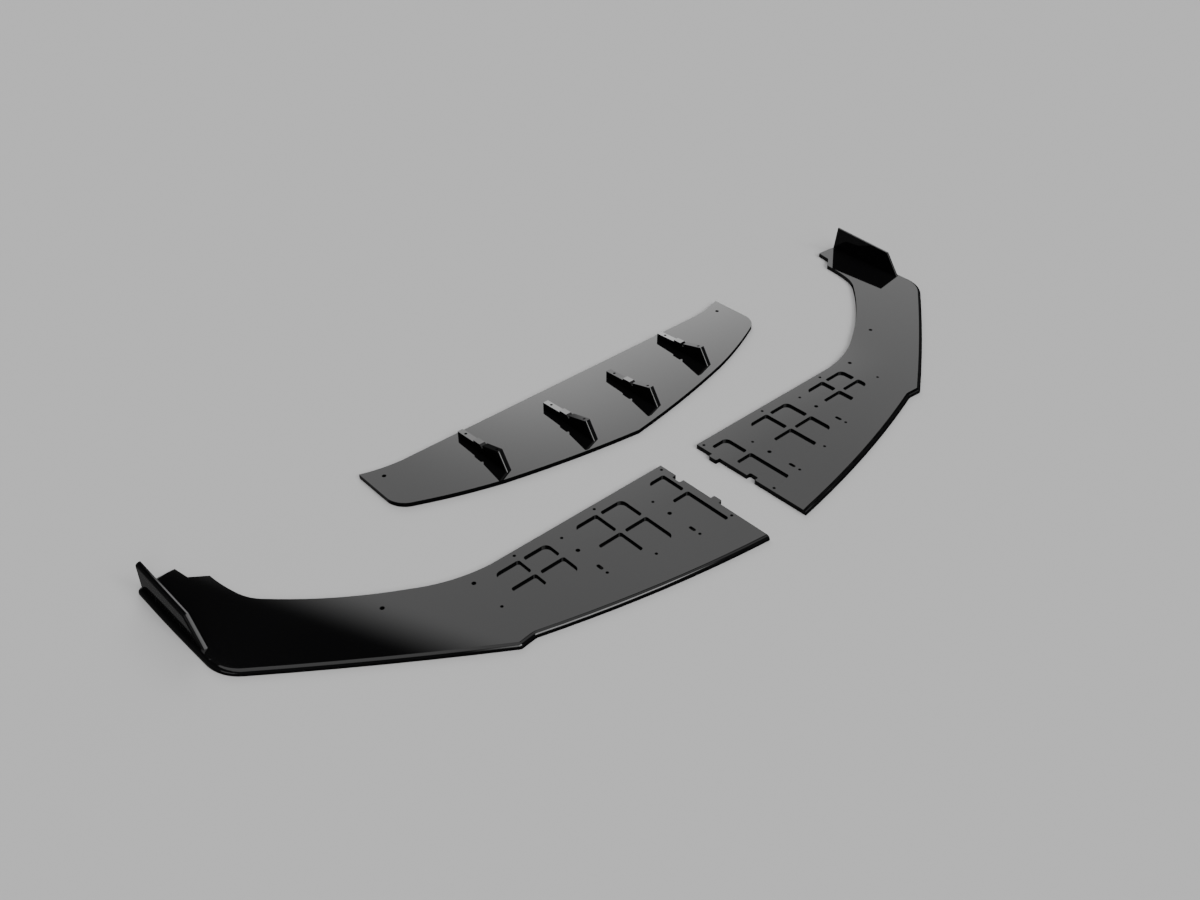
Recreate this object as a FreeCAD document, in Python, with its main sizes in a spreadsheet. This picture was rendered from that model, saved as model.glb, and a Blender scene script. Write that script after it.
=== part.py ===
import FreeCAD, Part
import math
import os
import types

import Sketcher

# A front splitter for a car, taken apart and laid out flat: two mirrored blade halves that key into each
# other at the middle, a rear centre plate that carries four upright fins, and a winglet on each blade tip.
# Millimetres. X points to the right half, Y to the rear of the car, Z up, and the floor is Z = 0.
# Plan positions are given as they are in the closed splitter: x from the seam, y from the rearmost row of
# body screws. Laid out, each half stands half_gap off the middle and the centre plate sits behind them.

SIZES = {
    # sheet and layout
    "plate_thickness": 9.5,
    "half_gap": 50.0,
    "layout_back": 348.0,
    # blade outline, from the nose at the seam along the front edge to the tip. An inset is measured inwards
    # from the furthest reach of a half
    "half_reach": 889.1,
    "nose_y": -265.2,
    "front_inner_radius": 2740.0,
    "step_inner_x": 457.5,
    "step_inner_y": -168.2,
    "step_outer_x": 490.5,
    "step_outer_y": -171.2,
    "step_inner_radius": 20.0,
    "step_outer_radius": 9.0,
    "front_outer_radius": 6160.0,
    "cheek_inset": 13.8,
    "cheek_y": 97.4,
    "cheek_radius": 80.5,
    "side_radius": 4700.0,
    "tip_side_y": 356.5,
    "tip_rear_inset": 7.2,
    "tip_rear_y": 365.2,
    "front_round": 8.0,
    # blade outline, back along the wheel side to the seam
    "tongue_inset": 69.1,
    "tongue_root_inset": 76.3,
    "tongue_root_y": 331.0,
    "arch_rear_inset": 105.9,
    "arch_rear_y": 309.5,
    "arch_mid_inset": 121.6,
    "arch_mid_y": 236.0,
    "arch_front_inset": 143.1,
    "arch_front_y": 201.0,
    "arch_rear_radius": 330.0,
    "arch_mid_radius": 95.0,
    "bend_x": 550.0,
    "bend_y": 54.8,
    "bend_radius": 845.0,
    "flare_x": 410.0,
    "flare_radius": 300.0,
    "rear_y": 10.9,
    # keyed seam
    "joint_rear_y": -40.0,
    "joint_front_y": -130.5,
    "tab_length": 9.5,
    "tab_width": 19.5,
    "joint_clearance": 0.5,
    "joint_radius": 3.0,
    # blind pockets in the top of the blade
    "pocket_depth": 4.8,
    "pocket_rear_y": -13.0,
    "pocket_rib": 9.0,
    "pocket_row_inner": 56.0,
    "pocket_row_outer": 37.0,
    "pocket_width": 54.3,
    "pocket_first_width": 42.0,
    "pocket_first_x": 17.0,
    "pocket_second_x": 125.5,
    "pocket_fourth_x": 306.0,
    "pocket_first_front_y": -183.0,
    "pocket_second_front_y": -152.0,
    "pocket_third_front_y": -138.5,
    "pocket_fourth_front_y": -104.5,
    "pocket_fifth_front_y": -91.0,
    "pocket_front_rise": 8.0,
    "pocket_small_radius": 5.0,
    "pocket_large_radius": 12.0,
    # holes in the blade
    "screw_hole": 6.0,
    "bolt_hole": 8.5,
    "slot_width": 7.0,
    "slot_length": 15.0,
    "body_row_inner_x": 8.6,
    "body_row_mid_x": 181.6,
    "body_row_outer_x": 368.3,
    "nose_hole_inner_y": -180.6,
    "nose_hole_outer_y": -161.8,
    "corner_bolt_x": 461.6,
    "corner_bolt_y": -7.5,
    "corner_screw_x": 460.4,
    "corner_screw_y": -82.3,
    "wing_bolt_x": 608.7,
    "wing_bolt_y": 47.1,
    "fin_inner_x": 87.7,
    "fin_outer_x": 277.1,
    "fin_line_rear_y": -57.2,
    "fin_line_step": 37.2,
    "fin_line_bolt": 43.6,
    "fin_line_slot": 100.9,
    "fin_line_front": 119.5,
    # centre plate
    "centre_nose_y": -225.1,
    "centre_front_radius": 2530.0,
    "centre_turn_x": 300.0,
    "centre_turn_y": -169.6,
    "centre_side_radius": 1136.0,
    "centre_corner_front_x": 462.0,
    "centre_corner_front_y": -110.2,
    "centre_end_x": 494.45,
    "centre_corner_rear_y": -71.0,
    "centre_corner_radius": 49.0,
    "centre_tip_y": 28.1,
    # fins, measured from the rear bore of each fin
    "fin_thickness": 12.7,
    "fin_bore": 6.0,
    "fin_rear": 18.6,
    "fin_rear_height": 14.0,
    "fin_tab_rear": 33.3,
    "fin_saddle_height": 16.8,
    "fin_tab_rear_height": 20.7,
    "fin_tab_front": 53.3,
    "fin_tab_front_height": 21.6,
    "fin_nick": 60.3,
    "fin_nick_height": 17.0,
    "fin_shoulder": 62.3,
    "fin_shoulder_height": 23.0,
    "fin_peak": 112.3,
    "fin_peak_height": 36.3,
    "fin_toe": 136.8,
    "fin_edge_round": 3.0,
    # winglets, measured along the foot from its front corner
    "winglet_thickness": 9.5,
    "winglet_inset": 26.9,
    "winglet_y": 158.0,
    "winglet_toe": 2.6,
    "winglet_length": 203.0,
    "winglet_front_run": 39.5,
    "winglet_front_height": 50.0,
    "winglet_rear_run": 6.0,
    "winglet_rear_height": 57.5,
    "winglet_edge_round": 7.0,
}

doc = FreeCAD.newDocument("front_splitter")
sheet = doc.addObject("Spreadsheet::Sheet", "Sizes")
for row, (alias, number) in enumerate(SIZES.items(), start=1):
    sheet.set(f"A{row}", alias)
    sheet.set(f"B{row}", str(number))
    sheet.setAlias(f"B{row}", alias)
doc.recompute()


class Size:
    """A number together with the sheet expression that gives it."""

    def __init__(self, value, text):
        self.value = value
        self.text = text

    def __add__(self, other):
        other = as_size(other)
        return Size(self.value + other.value, f"({self.text} + {other.text})")

    def __sub__(self, other):
        other = as_size(other)
        return Size(self.value - other.value, f"({self.text} - {other.text})")

    def __mul__(self, other):
        other = as_size(other)
        return Size(self.value * other.value, f"({self.text} * {other.text})")

    def __truediv__(self, other):
        other = as_size(other)
        return Size(self.value / other.value, f"({self.text} / {other.text})")

    def __neg__(self):
        return self * -1

    __radd__ = __add__
    __rmul__ = __mul__


def as_size(value):
    return value if isinstance(value, Size) else Size(value, f"({value})")


def sine(angle):
    return Size(math.sin(math.radians(angle.value)), f"sin({angle.text})")


def cosine(angle):
    return Size(math.cos(math.radians(angle.value)), f"cos({angle.text})")


s = types.SimpleNamespace(**{alias: Size(float(sheet.get(alias)), f"Sizes.{alias}") for alias in SIZES})


def bind(thing, prop, size):
    thing.setExpression(prop, as_size(size).text)


def new_body(label):
    body = doc.addObject("PartDesign::Body", label)
    body.Label = label
    return body


def place(body, x, y, z, turn=None):
    """Puts a body where it lies in the layout, whose box is centred on the origin."""
    bind(body, "Placement.Base.x", x)
    bind(body, "Placement.Base.y", y - layout_middle_y)
    bind(body, "Placement.Base.z", z)
    if turn is not None:
        bind(body, "Placement.Rotation.Angle", turn)


# half-way between the blade's nose and the centre plate's flared tips
layout_middle_y = (s.nose_y + s.layout_back + s.centre_tip_y) / 2


class Drawing:
    """A sketch on one of its body's own planes, with every point bound to the sheet."""

    def __init__(self, body, name, plane="XY_Plane", height=None):
        self.sketch = body.newObject("Sketcher::SketchObject", name)
        support = next(f for f in body.Origin.OriginFeatures if f.Role == plane)
        self.sketch.AttachmentSupport = [(support, "")]
        self.sketch.MapMode = "FlatFace"
        if height is not None:
            bind(self.sketch, "AttachmentOffset.Base.z", height)

    def hold(self, kind, *where, size):
        number = self.sketch.addConstraint(Sketcher.Constraint(kind, *where, as_size(size).value))
        bind(self.sketch, f"Constraints[{number}]", size)

    def pin(self, geometry, end, point):
        self.hold("DistanceX", geometry, end, size=point[0])
        self.hold("DistanceY", geometry, end, size=point[1])

    def end_near(self, geometry, spot):
        """1 or 2, whichever end of a curve lies at a spot: a clockwise arc is stored the other way round."""
        return min((1, 2), key=lambda end: (self.sketch.getPoint(geometry, end) - spot).Length)

    def loop(self, points, bends=None, tangent=()):
        """A closed outline. bends gives the radius of the arc that leaves a point, minus where it hollows
        the outline. A tuple there is only a first guess for an arc that its tangent joints settle."""
        bends = bends or {}
        spots = [FreeCAD.Vector(as_size(x).value, as_size(y).value, 0) for x, y in points]
        turning = sum(a.x * b.y - b.x * a.y for a, b in zip(spots, spots[1:] + spots[:1]))
        ends = []
        for index, spot in enumerate(spots):
            after = spots[(index + 1) % len(spots)]
            if index in bends:
                curve = arc_between(spot, after, bends[index], math.copysign(1, turning))
            else:
                curve = Part.LineSegment(spot, after)
            number = self.sketch.addGeometry(curve)
            ends.append((number, self.end_near(number, spot), self.end_near(number, after)))
        for index, (number, start, _) in enumerate(ends):
            before, _, finish = ends[index - 1]
            kind = "Tangent" if index in tangent else "Coincident"
            self.sketch.addConstraint(Sketcher.Constraint(kind, before, finish, number, start))
            self.pin(number, start, points[index])
            if isinstance(bends.get(index), tuple) is False and index in bends:
                self.hold("Radius", number, size=abs_size(bends[index]))
        return self

    def circle(self, point, diameter):
        centre = FreeCAD.Vector(as_size(point[0]).value, as_size(point[1]).value, 0)
        number = self.sketch.addGeometry(Part.Circle(centre, FreeCAD.Vector(0, 0, 1), diameter.value / 2))
        self.hold("Diameter", number, size=diameter)
        self.pin(number, 3, point)
        return self

    def slot(self, point, width, length):
        """A round-ended slot along Y."""
        reach = (length - width) / 2
        x, y = point
        corners = [(x + width / 2, y - reach), (x + width / 2, y + reach),
                   (x - width / 2, y + reach), (x - width / 2, y - reach)]
        half_round = (width.value / 2,)
        return self.loop(corners, bends={1: half_round, 3: half_round}, tangent=(1, 3))


def abs_size(size):
    return -size if size.value < 0 else size


def arc_between(start, end, bend, turning):
    """An arc from start to end of the stated radius, or of the radius that a tuple only suggests."""
    radius = bend[0] if isinstance(bend, tuple) else bend.value
    chord = end - start
    half = chord.Length / 2
    sagitta = abs(radius) - math.sqrt(max(radius * radius - half * half, 0.0))
    outward = FreeCAD.Vector(chord.y, -chord.x, 0).normalize() * turning * math.copysign(1, radius)
    return Part.Arc(start, start + chord / 2 + outward * sagitta, end)


def feature(body, kind, name, **values):
    made = body.newObject(kind, name)
    for prop, value in values.items():
        if isinstance(value, Size):
            bind(made, prop, value)
        else:
            setattr(made, prop, value)
    doc.recompute()
    return made


def pad(body, name, drawing, length, **values):
    return feature(body, "PartDesign::Pad", name, Profile=drawing.sketch, Length=length, **values)


def cut(body, name, drawing, **values):
    before = body.Shape.Volume
    made = feature(body, "PartDesign::Pocket", name, Profile=drawing.sketch, **values)
    if body.Shape.Volume >= before:
        raise RuntimeError(f"{body.Label}: {name} cuts nothing")
    return made


def edges_of(body, name, wanted):
    """The edges that wanted picks out of the body's last feature."""
    base = body.Tip
    names = [f"Edge{number}" for number, edge in enumerate(base.Shape.Edges, start=1) if wanted(edge)]
    if not names:
        raise RuntimeError(f"{body.Label}: {name} finds no edge")
    return base, names


def round_edges(body, name, radius, wanted):
    return feature(body, "PartDesign::Fillet", name, Base=edges_of(body, name, wanted), Radius=radius)


def upright_at(points, length, tolerance=0.05):
    """Tells whether an edge stands upright on one of the given plan points and is of the given length."""
    spots = [(as_size(x).value, as_size(y).value) for x, y in points]

    def wanted(edge):
        box = edge.BoundBox
        if box.XLength > tolerance or box.YLength > tolerance or abs(box.ZLength - length.value) > tolerance:
            return False
        return any(math.hypot(box.Center.x - x, box.Center.y - y) < tolerance for x, y in spots)

    return wanted


def on_front(shape, start, end, height):
    """Tells whether an edge is one of those that run along the front of the top face, start to end."""
    top = max((f for f in shape.Faces if abs(f.BoundBox.ZMin - height.value) < 1e-6), key=lambda f: f.Area)
    edges = top.OuterWire.OrderedEdges
    corners = top.OuterWire.OrderedVertexes
    where = {}
    for name, point in (("start", start), ("end", end)):
        spot = FreeCAD.Vector(as_size(point[0]).value, as_size(point[1]).value, height.value)
        where[name] = min(range(len(corners)), key=lambda i: (corners[i].Point - spot).Length)
    count = len(edges)
    one_way = [edges[(where["start"] + i) % count] for i in range((where["end"] - where["start"]) % count)]
    other_way = [edges[(where["end"] + i) % count] for i in range((where["start"] - where["end"]) % count)]
    front = min((one_way, other_way), key=lambda run: min(e.BoundBox.Center.y for e in run))
    return lambda edge: any(edge.isSame(other) for other in front)


# The blade's pockets stand in five columns. Each column has a rear pocket with square ends and a front
# pocket whose front end slants with the blade's edge.
pocket_columns = [
    (s.pocket_first_x, s.pocket_first_width, s.pocket_row_inner, s.pocket_first_front_y),
    (s.pocket_second_x, s.pocket_width, s.pocket_row_inner, s.pocket_second_front_y),
    (s.pocket_second_x + s.pocket_width + s.pocket_rib, s.pocket_width, s.pocket_row_inner,
     s.pocket_third_front_y),
    (s.pocket_fourth_x, s.pocket_width, s.pocket_row_outer, s.pocket_fourth_front_y),
    (s.pocket_fourth_x + s.pocket_width + s.pocket_rib, s.pocket_width, s.pocket_row_outer,
     s.pocket_fifth_front_y),
]
# Columns whose inner, then outer, side is the end of a group and so has the large corner radius.
LARGE_INNER_SIDE = (1, 3)
LARGE_OUTER_SIDE = (0, 2, 4)
# The first column's front pocket keeps small corners, and so do all corners next to a rib.
SMALL_FRONT_COLUMN = 0


def pocket_corners(side):
    """Outlines of the ten pockets, and their corners sorted by radius."""
    outlines, large, small = [], [], []
    for column, (inner_x, width, row, front_y) in enumerate(pocket_columns):
        inner = side * inner_x
        outer = side * (inner_x + width)
        rear = s.pocket_rear_y
        middle = rear - row
        second = middle - s.pocket_rib
        back_pocket = [(inner, middle), (outer, middle), (outer, rear), (inner, rear)]
        front_pocket = [(inner, front_y), (outer, front_y + s.pocket_front_rise), (outer, second),
                        (inner, second)]
        outlines += [back_pocket, front_pocket]
        wide = []
        if column in LARGE_INNER_SIDE:
            wide += [back_pocket[3], front_pocket[0]]
        if column in LARGE_OUTER_SIDE:
            wide += [back_pocket[2]]
            if column != SMALL_FRONT_COLUMN:
                wide += [front_pocket[1]]
        large += wide
        small += [corner for corner in back_pocket + front_pocket if corner not in wide]
    return outlines, large, small


def seam_joint(side, middle_y, is_tab):
    """Four corners of a tab that stands out past the seam, or of the notch that takes one."""
    reach = -s.tab_length if is_tab else s.tab_length + s.joint_clearance
    half_width = s.tab_width / 2 if is_tab else (s.tab_width + s.joint_clearance) / 2
    x = side * reach
    return [(0, middle_y + half_width), (x, middle_y + half_width),
            (x, middle_y - half_width), (0, middle_y - half_width)]


def fin_places():
    """Label, x and rear bore y of the four fins, from left to right."""
    inner_y = s.fin_line_rear_y
    outer_y = s.fin_line_rear_y + s.fin_line_step
    return [
        ("fin_outer_left", -s.fin_outer_x, outer_y),
        ("fin_inner_left", -s.fin_inner_x, inner_y),
        ("fin_inner_right", s.fin_inner_x, inner_y),
        ("fin_outer_right", s.fin_outer_x, outer_y),
    ]


def make_half(label, side):
    """One blade half. side is 1 for the right half and -1 for the left."""
    body = new_body(label)

    def inset(size):
        return side * (s.half_reach - size)

    nose = (0, s.nose_y)
    tip_rear = (inset(s.tip_rear_inset), s.tip_rear_y)
    right = side > 0
    joints = seam_joint(side, s.joint_rear_y, right) + seam_joint(side, s.joint_front_y, not right)
    points = [
        nose,
        (side * s.step_inner_x, s.step_inner_y),
        (side * s.step_outer_x, s.step_outer_y),
        (inset(s.cheek_inset), s.cheek_y),
        (side * s.half_reach, s.tip_side_y),
        tip_rear,
        (inset(s.tongue_inset), s.tip_rear_y),
        (inset(s.tongue_root_inset), s.tongue_root_y),
        (inset(s.arch_rear_inset), s.arch_rear_y),
        (inset(s.arch_mid_inset), s.arch_mid_y),
        (inset(s.arch_front_inset), s.arch_front_y),
        (side * s.bend_x, s.bend_y),
        (side * s.flare_x, s.rear_y),
        (0, s.rear_y),
    ] + joints
    bends = {
        0: s.front_inner_radius,
        2: s.front_outer_radius,
        3: s.side_radius,
        4: ((s.tip_rear_y - s.tip_side_y).value,),
        8: -s.arch_rear_radius,
        9: -s.arch_mid_radius,
        10: -s.bend_radius,
        11: -s.flare_radius,
    }
    outline = Drawing(body, "blade_outline").loop(points, bends, tangent=(4,))
    pad(body, "blade", outline, s.plate_thickness)
    thickness = s.plate_thickness
    round_edges(body, "step_hollow", s.step_inner_radius, upright_at([points[1]], thickness))
    round_edges(body, "step_corner", s.step_outer_radius, upright_at([points[2]], thickness))
    round_edges(body, "cheek_corner", s.cheek_radius, upright_at([points[3]], thickness))
    front = on_front(body.Tip.Shape, nose, tip_rear, thickness)
    round_edges(body, "front_edge", s.front_round, front)
    inner_joint_corners = [joints[1], joints[2], joints[5], joints[6]]
    round_edges(body, "seam_corners", s.joint_radius, upright_at(inner_joint_corners, thickness))

    outlines, large, small = pocket_corners(side)
    recess = Drawing(body, "pocket_outlines", height=thickness)
    for corners in outlines:
        recess.loop(corners)
    cut(body, "pockets", recess, Length=s.pocket_depth)
    round_edges(body, "pocket_small_corners", s.pocket_small_radius, upright_at(small, s.pocket_depth))
    round_edges(body, "pocket_large_corners", s.pocket_large_radius, upright_at(large, s.pocket_depth))

    holes = Drawing(body, "hole_layout", height=thickness)
    for x in (s.body_row_inner_x, s.body_row_mid_x, s.body_row_outer_x):
        holes.circle((side * x, as_size(0)), s.screw_hole)
    holes.circle((side * s.body_row_inner_x, s.nose_hole_inner_y), s.screw_hole)
    holes.circle((side * s.body_row_mid_x, s.nose_hole_outer_y), s.screw_hole)
    holes.circle((side * s.corner_screw_x, s.corner_screw_y), s.screw_hole)
    holes.circle((side * s.corner_bolt_x, s.corner_bolt_y), s.bolt_hole)
    holes.circle((side * s.wing_bolt_x, s.wing_bolt_y), s.bolt_hole)
    for x, rear_y in ((s.fin_inner_x, s.fin_line_rear_y), (s.fin_outer_x, s.fin_line_rear_y + s.fin_line_step)):
        holes.circle((side * x, rear_y), s.screw_hole)
        holes.circle((side * x, rear_y - s.fin_line_bolt), s.bolt_hole)
        holes.slot((side * x, rear_y - s.fin_line_slot), s.slot_width, s.slot_length)
        holes.circle((side * x, rear_y - s.fin_line_front), s.screw_hole)
    cut(body, "holes", holes, Type="ThroughAll")
    place(body, side * s.half_gap, as_size(0), as_size(0))
    return body


def make_centre_plate():
    body = new_body("centre_plate")
    points = [
        (0, s.centre_nose_y),
        (s.centre_turn_x, s.centre_turn_y),
        (s.centre_corner_front_x, s.centre_corner_front_y),
        (s.centre_end_x, s.centre_corner_rear_y),
        (s.centre_end_x, s.centre_tip_y),
        (s.flare_x, s.rear_y),
        (-s.flare_x, s.rear_y),
        (-s.centre_end_x, s.centre_tip_y),
        (-s.centre_end_x, s.centre_corner_rear_y),
        (-s.centre_corner_front_x, s.centre_corner_front_y),
        (-s.centre_turn_x, s.centre_turn_y),
    ]
    bends = {
        0: s.centre_front_radius,
        1: s.centre_side_radius,
        2: s.centre_corner_radius,
        4: -s.flare_radius,
        6: -s.flare_radius,
        8: s.centre_corner_radius,
        9: s.centre_side_radius,
        10: s.centre_front_radius,
    }
    outline = Drawing(body, "plate_outline").loop(points, bends)
    pad(body, "plate", outline, s.plate_thickness)
    holes = Drawing(body, "hole_layout", height=s.plate_thickness)
    for side in (-1, 1):
        holes.circle((side * s.corner_bolt_x, s.corner_bolt_y), s.bolt_hole)
    for _, x, bore_y in fin_places():
        holes.circle((x, bore_y), s.fin_bore)
        holes.circle((x, bore_y - s.fin_line_slot), s.fin_bore)
    cut(body, "holes", holes, Type="ThroughAll")
    place(body, as_size(0), s.layout_back, as_size(0))
    return body


def make_fin(label, x, bore_y):
    """A fin in its own frame: Y from its rear bore towards the rear of the car, Z from its foot."""
    body = new_body(label)
    profile = Drawing(body, "fin_profile", plane="YZ_Plane")
    profile.loop([
        (-s.fin_toe, as_size(0)),
        (s.fin_rear, as_size(0)),
        (s.fin_rear, s.fin_rear_height),
        (-s.fin_tab_rear, s.fin_saddle_height),
        (-s.fin_tab_rear, s.fin_tab_rear_height),
        (-s.fin_tab_front, s.fin_tab_front_height),
        (-s.fin_nick, s.fin_nick_height),
        (-s.fin_shoulder, s.fin_nick_height),
        (-s.fin_shoulder, s.fin_shoulder_height),
        (-s.fin_peak, s.fin_peak_height),
    ])
    pad(body, "fin", profile, s.fin_thickness, SideType="Symmetric")
    tolerance = 0.05

    def along_front(edge):
        """The two slanting edges down the front face, from the peak to the toe."""
        box = edge.BoundBox
        at_toe = abs(box.YMin + s.fin_toe.value) < tolerance
        return at_toe and box.XLength < tolerance and box.ZLength > tolerance

    round_edges(body, "front_edges", s.fin_edge_round, along_front)
    bores = Drawing(body, "bore_layout")
    bores.circle((as_size(0), as_size(0)), s.fin_bore)
    bores.circle((as_size(0), -s.fin_line_slot), s.fin_bore)
    cut(body, "bores", bores, Type="ThroughAll", Reversed=True)
    place(body, x, bore_y + s.layout_back, s.plate_thickness)
    return body


def make_winglet(label, side):
    """A winglet in its own frame: Y along its foot from the front corner, its inner face on X = 0."""
    body = new_body(label)
    profile = Drawing(body, "winglet_profile", plane="YZ_Plane")
    front_top = (s.winglet_front_run, s.winglet_front_height)
    rear_top = (s.winglet_length - s.winglet_rear_run, s.winglet_rear_height)
    profile.loop([(as_size(0), as_size(0)), (s.winglet_length, as_size(0)), rear_top, front_top])
    pad(body, "winglet", profile, s.winglet_thickness, Reversed=side < 0)

    def outer_top_and_front(edge):
        """The top edge and the slanting front edge, on the outer face."""
        box = edge.BoundBox
        outer = box.XLength < 1e-3 and abs(side * box.Center.x - s.winglet_thickness.value) < 1e-3
        return outer and box.ZMax > s.winglet_front_height.value - 1.0 and box.Center.y < rear_top[0].value - 1.0

    round_edges(body, "outer_edges", s.winglet_edge_round, outer_top_and_front)
    across = side * (s.half_reach - s.winglet_inset + s.half_gap)
    place(body, across, s.winglet_y, s.plate_thickness, -side * s.winglet_toe)
    return body


nodes = [
    make_half("left_half", -1),
    make_half("right_half", 1),
    make_winglet("left_winglet", -1),
    make_winglet("right_winglet", 1),
    make_centre_plate(),
]
nodes += [make_fin(label, x, bore_y) for label, x, bore_y in fin_places()]
doc.recompute()

for thing in doc.Objects:
    if "Invalid" in thing.State or "Error" in thing.State:
        raise RuntimeError(f"{thing.Label} failed: {thing.State}")
    if thing.isDerivedFrom("Sketcher::SketchObject") and thing.solve() != 0:
        raise RuntimeError(f"{thing.Label} doesn't solve")
for node in nodes:
    if node.Shape.isNull() or not node.Shape.isValid():
        raise RuntimeError(f"{node.Label} has no valid shape")

os.makedirs("parts", exist_ok=True)
for node in nodes:
    node.Shape.exportStep(os.path.join("parts", node.Label + ".step"))
    box = node.Shape.BoundBox
    print(f"{node.Label}: {len(node.Shape.Solids)} solid(s), volume {node.Shape.Volume:.0f}, "
          f"x {box.XMin:.1f} to {box.XMax:.1f}, y {box.YMin:.1f} to {box.YMax:.1f}, "
          f"z {box.ZMin:.1f} to {box.ZMax:.1f}")
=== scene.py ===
import math

import bmesh
import bpy
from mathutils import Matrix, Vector


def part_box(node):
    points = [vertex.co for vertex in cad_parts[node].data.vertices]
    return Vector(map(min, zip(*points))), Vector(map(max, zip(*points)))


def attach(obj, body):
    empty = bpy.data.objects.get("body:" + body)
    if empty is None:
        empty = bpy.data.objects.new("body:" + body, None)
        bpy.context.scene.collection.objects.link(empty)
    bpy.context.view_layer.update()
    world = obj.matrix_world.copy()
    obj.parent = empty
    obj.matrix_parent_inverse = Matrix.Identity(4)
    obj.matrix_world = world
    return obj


bl_info = {
    "name": "Front splitter kit",
    "version": (1, 0, 0),
    "blender": (4, 5, 0),
    "location": "3D View > Sidebar > Splitter",
    "description": "Finishes a two-piece front splitter laid out as a kit, "
                   "with its fins, winglets and screws",
    "category": "Object",
}

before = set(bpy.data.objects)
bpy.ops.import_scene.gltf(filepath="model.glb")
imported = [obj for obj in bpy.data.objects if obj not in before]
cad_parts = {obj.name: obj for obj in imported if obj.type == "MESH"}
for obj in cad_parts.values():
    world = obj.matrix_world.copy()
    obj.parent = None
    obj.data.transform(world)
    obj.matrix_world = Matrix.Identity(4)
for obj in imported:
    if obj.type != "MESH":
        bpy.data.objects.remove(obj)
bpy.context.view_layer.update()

BLADE_HALVES = ("left_half", "right_half")
WINGLETS = ("left_winglet", "right_winglet")
FINS = ("fin_outer_left", "fin_inner_left", "fin_inner_right", "fin_outer_right")

# Where the screws stand, in metres from a fin's rear end and from a winglet's front end.
FIN_SCREWS_FROM_REAR = (0.0622, 0.1381)
WINGLET_SCREWS_FROM_FRONT = (0.038, 0.0985, 0.159)
WINGLET_TOE = math.radians(2.6)
WINGLET_THICKNESS = 0.0095

# A screw head: how far it is sunk into the sheet in metres, its rim's bevel and its recess's
# depth as parts of its rise, and the wall round the recess as a part of its diameter.
HEAD_SIDES = 32
HEAD_SUNK = 0.001
RIM_BEVEL = 0.8
RIM_STEPS = 3
RECESS_DEPTH = 2
RECESS_WALL = 0.24
# Heights that agree to this many digits are the same.
SAME_DIGITS = 7
SAME_HEIGHT = 10 ** -SAME_DIGITS

FLOOR_REACH = 60.0
FLOOR_DROP = 0.0004
SENSOR_WIDTH = 36.0

# The black sheet's finish: a face counts as a wall by how little its normal points up, and the
# noises move the roughness by a part of the polish.
WALL_FADE = (0.02, 0.12)
WORN_FADE = (0.35, 0.7)
SPECK_SCALE = 160.0
DRIFT_IN_POLISH = 0.4
SPECKS_IN_POLISH = 0.3
SHEET_IOR = 1.5

SCREW_GRAIN = 900.0
SCREW_LIGHT_PATCHES = 1.6
SCREW_ROUGHNESS = 0.32
SCREW_UNEVENNESS = 0.12
SCREW_METALLIC = 0.6


class Term:
    """One value in a node tree. Arithmetic on it adds the Math nodes that work the result out."""

    def __init__(self, graph, socket):
        self.graph = graph
        self.socket = socket

    def maths(self, operation, *values):
        return self.graph.node(
            "ShaderNodeMath", {"operation": operation}, dict(enumerate(values)))

    def __add__(self, other):
        return self.maths("ADD", self, other)

    def __sub__(self, other):
        return self.maths("SUBTRACT", self, other)

    def __rsub__(self, other):
        return self.maths("SUBTRACT", other, self)

    def __mul__(self, other):
        return self.maths("MULTIPLY", self, other)

    def __truediv__(self, other):
        return self.maths("DIVIDE", self, other)

    def __neg__(self):
        return self.maths("MULTIPLY", self, -1.0)

    def __abs__(self):
        return self.maths("ABSOLUTE", self)

    __radd__ = __add__
    __rmul__ = __mul__

    def at_least(self, other):
        return self.maths("MAXIMUM", self, other)

    def at_most(self, other):
        return self.maths("MINIMUM", self, other)


class Graph:
    """The nodes of a material or of the world."""

    def __init__(self, owner):
        owner.use_nodes = True
        self.tree = owner.node_tree
        self.tree.nodes.clear()

    def node(self, kind, settings=None, inputs=None, output=0):
        """Adds a node, sets it up and fills or links its inputs.
        Gives the output that is asked for, all of them for None, or nothing where it has none."""
        made = self.tree.nodes.new(kind)
        for name, value in (settings or {}).items():
            setattr(made, name, value)
        for name, value in (inputs or {}).items():
            if isinstance(value, Term):
                self.tree.links.new(value.socket, made.inputs[name])
            else:
                made.inputs[name].default_value = value
        if output is None:
            return [Term(self, socket) for socket in made.outputs]
        return Term(self, made.outputs[output]) if made.outputs else None

    def parts(self, vector):
        """The x, y and z of a vector."""
        return self.node("ShaderNodeSeparateXYZ", None, {0: vector}, output=None)

    def rise(self, value, start, end, low=0.0, high=1.0):
        """Low before start and high after end, with a smooth step between them."""
        return self.node("ShaderNodeMapRange", {"interpolation_type": "SMOOTHSTEP"}, {
            "Value": value, "From Min": start, "From Max": end, "To Min": low, "To Max": high})

    def between(self, value, start, end, soft):
        """One from start to end, with soft edges outside them."""
        return self.rise(value, start - soft, start) * (1 - self.rise(value, end, end + soft))

    def mix_colours(self, amount, first, second):
        settings = {"data_type": "RGBA"}
        return self.node("ShaderNodeMix", settings, {0: amount, 6: first, 7: second}, output=2)

    def grain(self, place, scale, detail=3.0):
        """Fine noise, about 0.5 on average."""
        return self.node("ShaderNodeTexNoise", None, {
            "Vector": place, "Scale": scale, "Detail": detail, "Roughness": 0.5})


def opaque(colour):
    return (*colour, 1.0)


def link_object(name, data):
    """A new object at the origin for a mesh or a camera, linked into the scene."""
    made = bpy.data.objects.new(name, data)
    bpy.context.scene.collection.objects.link(made)
    return made


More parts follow.
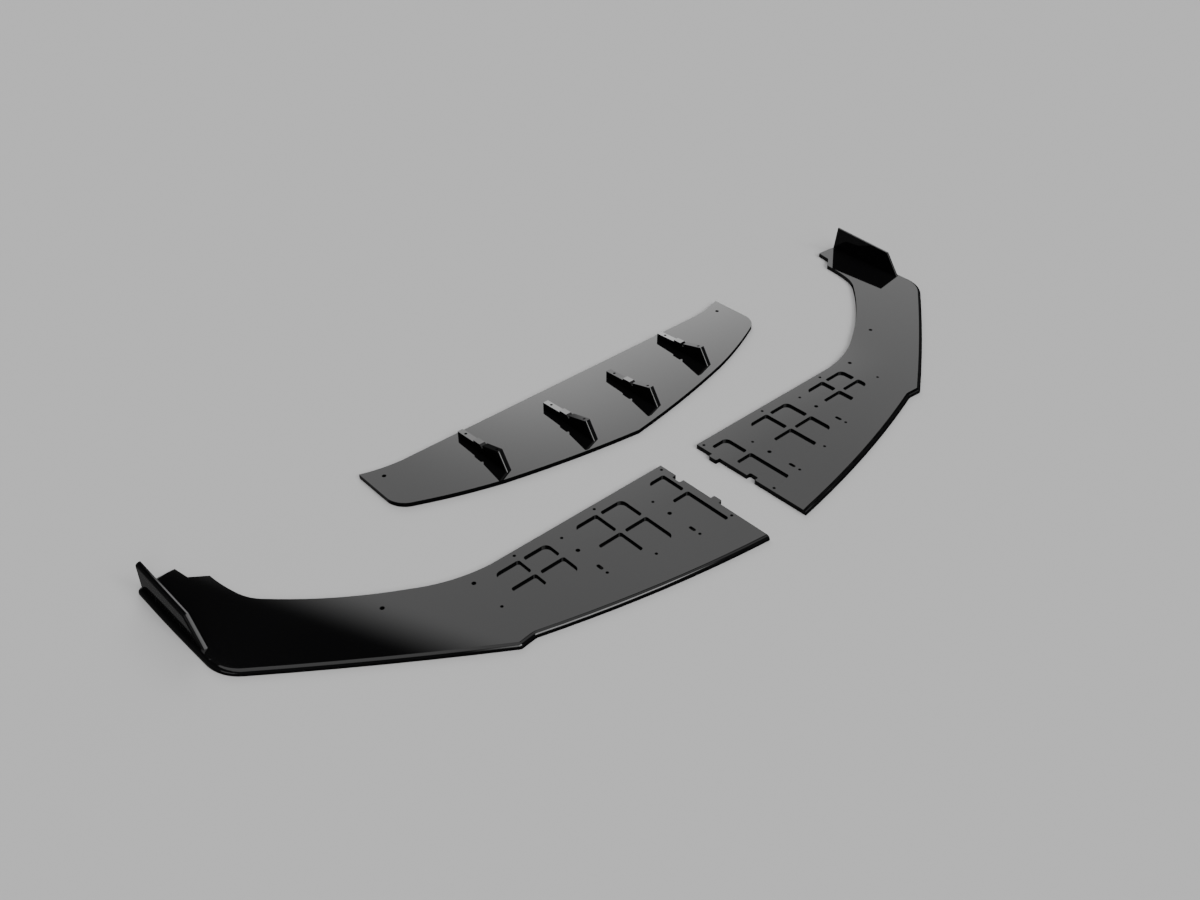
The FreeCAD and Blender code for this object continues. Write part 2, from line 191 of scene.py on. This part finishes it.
def finished_mesh(name, shape, material):
    """Turns a bmesh into a mesh with its material, and frees the bmesh."""
    mesh = bpy.data.meshes.new(name)
    shape.to_mesh(mesh)
    shape.free()
    mesh.materials.append(material)
    return mesh


def sheet_material(name, sheet, wall_roughness, drift_scale):
    """Polished black sheet: a faint drift in colour and gloss, fine specks in the gloss, and walls
    with a roughness of their own, which is satin where a cutter has left them."""
    material = bpy.data.materials.new(name)
    graph = Graph(material)
    normal = graph.node("ShaderNodeTexCoord", output="Normal")
    place = graph.node("ShaderNodeTexCoord", output="Object")
    up = graph.parts(normal)[2]
    wall = 1 - graph.rise(abs(up), *WALL_FADE)
    drift = graph.grain(place, drift_scale)
    specks = graph.grain(place, SPECK_SCALE, detail=4.0)
    worn = graph.rise(drift, *WORN_FADE)
    base = graph.mix_colours(worn, opaque(sheet.colour), opaque(sheet.worn_colour))
    roughness = sheet.polish + (drift - 0.5) * (sheet.polish * DRIFT_IN_POLISH)
    roughness = roughness + (specks - 0.5) * (sheet.polish * SPECKS_IN_POLISH)
    roughness = roughness + wall * (wall_roughness - sheet.polish)
    shader = graph.node("ShaderNodeBsdfPrincipled", None, {
        "Base Color": base, "Roughness": roughness, "IOR": SHEET_IOR, "Metallic": 0.0})
    graph.node("ShaderNodeOutputMaterial", None, {"Surface": shader})
    return material


def screw_material(name, colour):
    """Black-coated steel, a little uneven."""
    material = bpy.data.materials.new(name)
    graph = Graph(material)
    place = graph.node("ShaderNodeTexCoord", output="Object")
    uneven = graph.grain(place, SCREW_GRAIN)
    lighter = [channel * SCREW_LIGHT_PATCHES for channel in colour]
    base = graph.mix_colours(uneven, opaque(colour), opaque(lighter))
    shader = graph.node("ShaderNodeBsdfPrincipled", None, {
        "Base Color": base, "Roughness": SCREW_ROUGHNESS + uneven * SCREW_UNEVENNESS,
        "Metallic": SCREW_METALLIC})
    graph.node("ShaderNodeOutputMaterial", None, {"Surface": shader})
    return material


def dress(names, material):
    """Gives CAD nodes their finish and ties them to the body."""
    for name in names:
        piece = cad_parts[name]
        piece.data.materials.clear()
        piece.data.materials.append(material)
        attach(piece, "root")


def screw_head(shape, place, diameter, rise):
    """A low screw head on the underside, sunk a little into the sheet, with a round recess."""
    before = set(shape.verts)
    made = bmesh.ops.create_cone(
        shape, cap_ends=True, segments=HEAD_SIDES, radius1=diameter / 2, radius2=diameter / 2,
        depth=HEAD_SUNK + rise)
    bmesh.ops.translate(shape, verts=made["verts"], vec=(0, 0, (HEAD_SUNK - rise) / 2))
    lowest = min(v.co.z for v in made["verts"])
    rim = [e for e in shape.edges
           if all(v not in before and abs(v.co.z - lowest) < SAME_HEIGHT for v in e.verts)]
    bmesh.ops.bevel(
        shape, geom=rim, offset=rise * RIM_BEVEL, offset_type="OFFSET", segments=RIM_STEPS,
        profile=0.5, affect="EDGES", material=-1)
    cap = min((f for f in shape.faces if all(v not in before for v in f.verts)),
              key=lambda f: (round(f.calc_center_median().z, SAME_DIGITS), -f.calc_area()))
    bmesh.ops.inset_individual(shape, faces=[cap], thickness=diameter * RECESS_WALL)
    pushed = bmesh.ops.extrude_discrete_faces(shape, faces=[cap])["faces"]
    floor_points = list({v for f in pushed for v in f.verts})
    bmesh.ops.translate(shape, verts=floor_points, vec=(0, 0, rise * RECESS_DEPTH))
    head = [v for v in shape.verts if v not in before]
    bmesh.ops.translate(shape, verts=head, vec=place)


def add_heads(name, places, diameter, rise, material):
    """One object with a screw head at each place."""
    shape = bmesh.new()
    for place in places:
        screw_head(shape, place, diameter, rise)
    bmesh.ops.recalc_face_normals(shape, faces=shape.faces)
    heads = link_object(name, finished_mesh(name, shape, material))
    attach(heads, "root")


class SheetSettings(bpy.types.PropertyGroup):
    colour: bpy.props.FloatVectorProperty(
        name="Sheet colour", description="Colour of the black sheet",
        subtype="COLOR", size=3, min=0.0, max=1.0, default=(0.0032, 0.0032, 0.0034))
    worn_colour: bpy.props.FloatVectorProperty(
        name="Drifting colour", description="Colour that the sheet drifts to over wide areas",
        subtype="COLOR", size=3, min=0.0, max=1.0, default=(0.0042, 0.0042, 0.0044))
    polish: bpy.props.FloatProperty(
        name="Polish", description="Roughness of the polished faces",
        subtype="FACTOR", min=0.0, max=1.0, default=0.035)
    cut_roughness: bpy.props.FloatProperty(
        name="Cut walls", description="Roughness of walls left by the cutter",
        subtype="FACTOR", min=0.0, max=1.0, default=0.14)


class ScrewSettings(bpy.types.PropertyGroup):
    colour: bpy.props.FloatVectorProperty(
        name="Screw colour", description="Colour of the black-coated steel",
        subtype="COLOR", size=3, min=0.0, max=1.0, default=(0.03, 0.03, 0.032))
    fin_head: bpy.props.FloatProperty(
        name="Fin screw head", description="Diameter of the screw heads under the fins",
        unit="LENGTH", min=0.001, default=0.0056)
    winglet_head: bpy.props.FloatProperty(
        name="Winglet screw head", description="Diameter of the screw heads under the winglets",
        unit="LENGTH", min=0.001, default=0.0056)
    rise: bpy.props.FloatProperty(
        name="Head rise", description="How far a head stands out of the underside",
        unit="LENGTH", min=0.0, default=0.0003)


class StageSettings(bpy.types.PropertyGroup):
    colour: bpy.props.FloatVectorProperty(
        name="Floor colour", description="Colour of the plain floor",
        subtype="COLOR", size=3, min=0.0, max=1.0, default=(0.588, 0.588, 0.588))
    brightness: bpy.props.FloatProperty(
        name="Brightness", description="Strength of the whole studio light",
        min=0.0, default=1.0)
    backdrop: bpy.props.FloatProperty(
        name="Backdrop", description="Tone of the plain backdrop beyond the floor",
        min=0.0, default=0.765)
    lens: bpy.props.FloatProperty(
        name="Lens", description="Focal length of the camera",
        subtype="DISTANCE_CAMERA", min=1.0, default=33.296)
    camera_place: bpy.props.FloatVectorProperty(
        name="Camera place", description="Where the camera stands",
        subtype="TRANSLATION", size=3, default=(-1.265976, -1.211601, 1.319985))
    camera_turn: bpy.props.FloatVectorProperty(
        name="Camera turn", description="Which way the camera is turned",
        subtype="EULER", size=3, default=(math.radians(52.8604), 0.0, math.radians(-42.2089)))


class SPLITTER_OT_blade_halves(bpy.types.Operator):
    """Gives the two blade halves their polished black finish, with satin cut walls"""
    bl_idname = "splitter.blade_halves"
    bl_label = "Blade halves"

    def execute(self, context):
        sheet = context.scene.splitter_sheet
        material = sheet_material("blade_sheet", sheet, sheet.cut_roughness, drift_scale=1.4)
        dress(BLADE_HALVES, material)
        return {"FINISHED"}


class SPLITTER_OT_centre_plate(bpy.types.Operator):
    """Gives the rear centre plate its polished black finish, with satin cut walls"""
    bl_idname = "splitter.centre_plate"
    bl_label = "Centre plate"

    def execute(self, context):
        sheet = context.scene.splitter_sheet
        material = sheet_material("centre_sheet", sheet, sheet.cut_roughness, drift_scale=1.1)
        dress(("centre_plate",), material)
        return {"FINISHED"}


class SPLITTER_OT_winglets(bpy.types.Operator):
    """Gives the two winglets their black finish, polished all round"""
    bl_idname = "splitter.winglets"
    bl_label = "Winglets"

    def execute(self, context):
        sheet = context.scene.splitter_sheet
        material = sheet_material("winglet_sheet", sheet, sheet.polish, drift_scale=4.0)
        dress(WINGLETS, material)
        return {"FINISHED"}


class SPLITTER_OT_fins(bpy.types.Operator):
    """Gives the four fins their black finish, polished all round"""
    bl_idname = "splitter.fins"
    bl_label = "Fins"

    def execute(self, context):
        sheet = context.scene.splitter_sheet
        material = sheet_material("fin_block", sheet, sheet.polish, drift_scale=6.0)
        dress(FINS, material)
        return {"FINISHED"}


class SPLITTER_OT_fin_screws(bpy.types.Operator):
    """Adds the screw heads that hold the fins from under the centre plate"""
    bl_idname = "splitter.fin_screws"
    bl_label = "Fin screws"

    def execute(self, context):
        screws = context.scene.splitter_screws
        places = []
        for fin in FINS:
            low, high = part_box(fin)
            middle = (low[0] + high[0]) / 2
            places += [Vector((middle, high[1] - back, 0.0)) for back in FIN_SCREWS_FROM_REAR]
        steel = screw_material("fin_screw_steel", screws.colour)
        add_heads("fin_screws", places, screws.fin_head, screws.rise, steel)
        return {"FINISHED"}


class SPLITTER_OT_winglet_screws(bpy.types.Operator):
    """Adds the screw heads that hold the winglets from under the blade's tips"""
    bl_idname = "splitter.winglet_screws"
    bl_label = "Winglet screws"

    def execute(self, context):
        screws = context.scene.splitter_screws
        places = []
        for winglet in WINGLETS:
            low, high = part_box(winglet)
            side = 1 if low[0] > 0 else -1
            inner = low[0] if side > 0 else high[0]
            half_sheet = math.cos(WINGLET_TOE) * WINGLET_THICKNESS / 2
            for along in WINGLET_SCREWS_FROM_FRONT:
                x = inner + side * (math.sin(WINGLET_TOE) * along + half_sheet)
                places.append(Vector((x, low[1] + math.cos(WINGLET_TOE) * along, 0.0)))
        steel = screw_material("winglet_screw_steel", screws.colour)
        add_heads("winglet_screws", places, screws.winglet_head, screws.rise, steel)
        return {"FINISHED"}


# The studio light is a function of direction. The panels in front are drawn on a wall one unit
# in front of it, where across is x and up is z. The two numbers after a value in rise are
# where a panel's side or end begins and ends to fade.

def past_line(across, beyond, point, facing):
    """How far a place on the ceiling lies past a straight line, in the direction it faces."""
    return (across - point[0]) * facing[0] + (beyond - point[1]) * facing[1]


def back_light(graph, x, y, z, across, beyond, past_gap):
    left_tone, right_tone, skirt_tone = 2.1, 1.78, 1.65
    glow_start, glow_slope, glow_curve, glow_limit = 0.82, 5.5, 6.0, 6.5
    side_slope, right_lean = 0.46, 0.15
    far_left_dimming, patch_dimming = 0.6, 0.8

    behind = graph.rise(y - x * side_slope, -0.03, 0.04)
    foot = graph.rise(z, 0.25, 0.35)
    near_end = graph.rise(beyond, 0.3, 0.6)
    panel = graph.rise(past_gap, -0.037, 0.037) * near_end * behind * foot
    tone = graph.rise(across, 0.75, 1.15, low=left_tone, high=right_tone)

    lift = (beyond - glow_start).at_least(0.0)
    glow = (lift * (glow_slope + lift * glow_curve)).at_most(glow_limit)
    left_side = graph.rise(across, 0.6, 1.0)
    right_side = 1 - graph.rise(across - (beyond - 1.0) * right_lean, 1.34, 1.47)
    far_left = graph.rise(beyond, 1.2, 1.35) * (1 - graph.rise(across, 0.9, 1.0))
    patch = graph.rise(beyond, 1.33, 1.37) * graph.between(across, 1.17, 1.22, 0.06)
    glow = glow * left_side * right_side
    glow = glow * (1 - far_left * far_left_dimming) * (1 - patch * patch_dimming)

    skirt_foot = graph.rise(z, 0.08, 0.14)
    skirt_left = 1 - graph.rise(y / x.at_least(0.05), 1.44, 1.62)
    skirt = skirt_foot * (1 - foot) * behind * skirt_left
    return panel * (glow + tone) + skirt * skirt_tone


def overhead_light(graph, across, beyond, past_gap):
    """The panel overhead, which is brightest at its far end and steps back at its near end."""
    left_tone, right_tone, far_tone = 1.5, 1.0, 2.8
    step_back = 0.28

    slant = past_line(across, beyond, point=(0.0, 0.95), facing=(0.84, -0.5427))
    step = graph.rise(-beyond, -0.85, -0.55) * step_back
    left_side = graph.rise(slant + step, 0.13, 0.19)
    near_corner = 1 - graph.rise(-(across + beyond), 1.0, 1.3)
    near_end = graph.rise(beyond, -0.9, -0.3)
    right_side = 1 - graph.rise(across, 0.6, 0.9)
    panel = graph.rise(-past_gap, 0.145, 0.165) * left_side * near_corner * near_end * right_side
    tone = graph.rise(across, 0.1, 0.5, low=left_tone, high=right_tone)
    return panel * (tone + graph.rise(beyond, 0.65, 0.95) * far_tone)


def front_light(graph, y, across, up):
    """The bright panel in front, behind the camera, with a dimmer band across it, and a narrow
    weak one to its right."""
    left_tone, right_tone, narrow_tone = 8.0, 10.0, 1.6
    lean_start, right_lean, band_dimming = 0.52, 0.28, 0.6

    in_front = graph.rise(-y, 0.1, 0.3)
    right_side = 1 - graph.rise(across - (up - lean_start) * right_lean, 0.31, 0.47)
    left_side = graph.rise(across, -0.7, -0.5)
    foot = graph.rise(up, 0.4, 0.46)
    top = 1 - graph.rise(up, 1.1, 1.5)
    tone = graph.rise(across, -0.1, 0.3, low=left_tone, high=right_tone)
    band = 1 - graph.between(up, 0.59, 0.67, 0.03) * band_dimming
    panel = right_side * left_side * foot * top * in_front * tone * band

    narrow = graph.between(across, 1.05, 1.5, 0.2) * graph.between(up, 0.55, 0.75, 0.1)
    return panel + narrow * in_front * narrow_tone


def studio_light(brightness, backdrop):
    """The panels behind, overhead and in front, with dark gaps between them that show where the
    polished faces bend, a weak fill low down behind, and a faint light from under the left. The
    camera sees a plain backdrop instead of them."""
    fill_tone, fill_all_round, fill_narrowing, under_tone = 0.6, 0.08, 2.0, 0.12
    lowest_ceiling, nearest_wall = 0.03, 0.05

    world = bpy.data.worlds.new("studio")
    bpy.context.scene.world = world
    graph = Graph(world)
    x, y, z = graph.parts(graph.node("ShaderNodeTexCoord", output="Generated"))
    height = z.at_least(lowest_ceiling)
    across, beyond = x / height, y / height
    depth = (-y).at_least(nearest_wall)
    past_gap = past_line(across, beyond, point=(0.4502, 0.8974), facing=(0.9118, 0.4107))

    fill = graph.rise(y - abs(x) * fill_narrowing, 0.1, 0.4) * fill_tone + fill_all_round
    fill = fill * (1 - graph.rise(z, 0.35, 0.6))
    under = graph.rise(-z, 0.1, 0.3) * graph.rise(y, 0.2, 0.6) * (1 - graph.rise(x, 0.0, 0.3))

    panels = back_light(graph, x, y, z, across, beyond, past_gap)
    panels = panels + overhead_light(graph, across, beyond, past_gap)
    panels = panels + front_light(graph, y, x / depth, z / depth)
    above_horizon = graph.rise(z, 0.0, 0.08)
    light = above_horizon * (panels + fill) + under * under_tone
    in_view = graph.node("ShaderNodeLightPath", output="Is Camera Ray")
    light = light * brightness * (1 - in_view) + in_view * backdrop
    background = graph.node("ShaderNodeBackground", None, {"Strength": light})
    graph.node("ShaderNodeOutputWorld", None, {"Surface": background})


class SPLITTER_OT_stage(bpy.types.Operator):
    """Adds the floor, the studio light and the camera"""
    bl_idname = "splitter.stage"
    bl_label = "Stage"

    def execute(self, context):
        stage = context.scene.splitter_stage
        paint = bpy.data.materials.new("floor_paint")
        graph = Graph(paint)
        shader = graph.node("ShaderNodeBsdfDiffuse", None, {"Color": opaque(stage.colour)})
        graph.node("ShaderNodeOutputMaterial", None, {"Surface": shader})
        shape = bmesh.new()
        bmesh.ops.create_grid(shape, x_segments=1, y_segments=1, size=FLOOR_REACH)
        bmesh.ops.translate(shape, verts=shape.verts, vec=(0, 0, -FLOOR_DROP))
        floor = link_object("floor", finished_mesh("floor", shape, paint))
        floor.visible_glossy = False
        studio_light(stage.brightness, stage.backdrop)

        lens = bpy.data.cameras.new("camera")
        lens.sensor_width = SENSOR_WIDTH
        lens.lens = stage.lens
        camera = link_object("camera", lens)
        camera.location = stage.camera_place
        camera.rotation_euler = stage.camera_turn
        context.scene.camera = camera
        return {"FINISHED"}


STEPS = (
    ("splitter_sheet", (SPLITTER_OT_blade_halves, SPLITTER_OT_centre_plate,
                        SPLITTER_OT_winglets, SPLITTER_OT_fins)),
    ("splitter_screws", (SPLITTER_OT_fin_screws, SPLITTER_OT_winglet_screws)),
    ("splitter_stage", (SPLITTER_OT_stage,)),
)


class SPLITTER_PT_kit(bpy.types.Panel):
    bl_label = "Front splitter kit"
    bl_idname = "SPLITTER_PT_kit"
    bl_space_type = "VIEW_3D"
    bl_region_type = "UI"
    bl_category = "Splitter"

    def draw(self, context):
        for group, operators in STEPS:
            settings = getattr(context.scene, group)
            for prop in settings.bl_rna.properties:
                if prop.identifier not in ("rna_type", "name"):
                    self.layout.prop(settings, prop.identifier)
            for operator in operators:
                self.layout.operator(operator.bl_idname)


SETTINGS = {
    "splitter_sheet": SheetSettings,
    "splitter_screws": ScrewSettings,
    "splitter_stage": StageSettings,
}
OPERATORS = tuple(operator for _, operators in STEPS for operator in operators)
CLASSES = (*SETTINGS.values(), *OPERATORS, SPLITTER_PT_kit)


def register():
    for cls in CLASSES:
        bpy.utils.register_class(cls)
    for name, group in SETTINGS.items():
        setattr(bpy.types.Scene, name, bpy.props.PointerProperty(type=group))


def unregister():
    for name in SETTINGS:
        delattr(bpy.types.Scene, name)
    for cls in reversed(CLASSES):
        bpy.utils.unregister_class(cls)


def main():
    register()
    for operator in OPERATORS:
        group, name = operator.bl_idname.split(".")
        getattr(getattr(bpy.ops, group), name)()


if __name__ == "__main__":
    main()
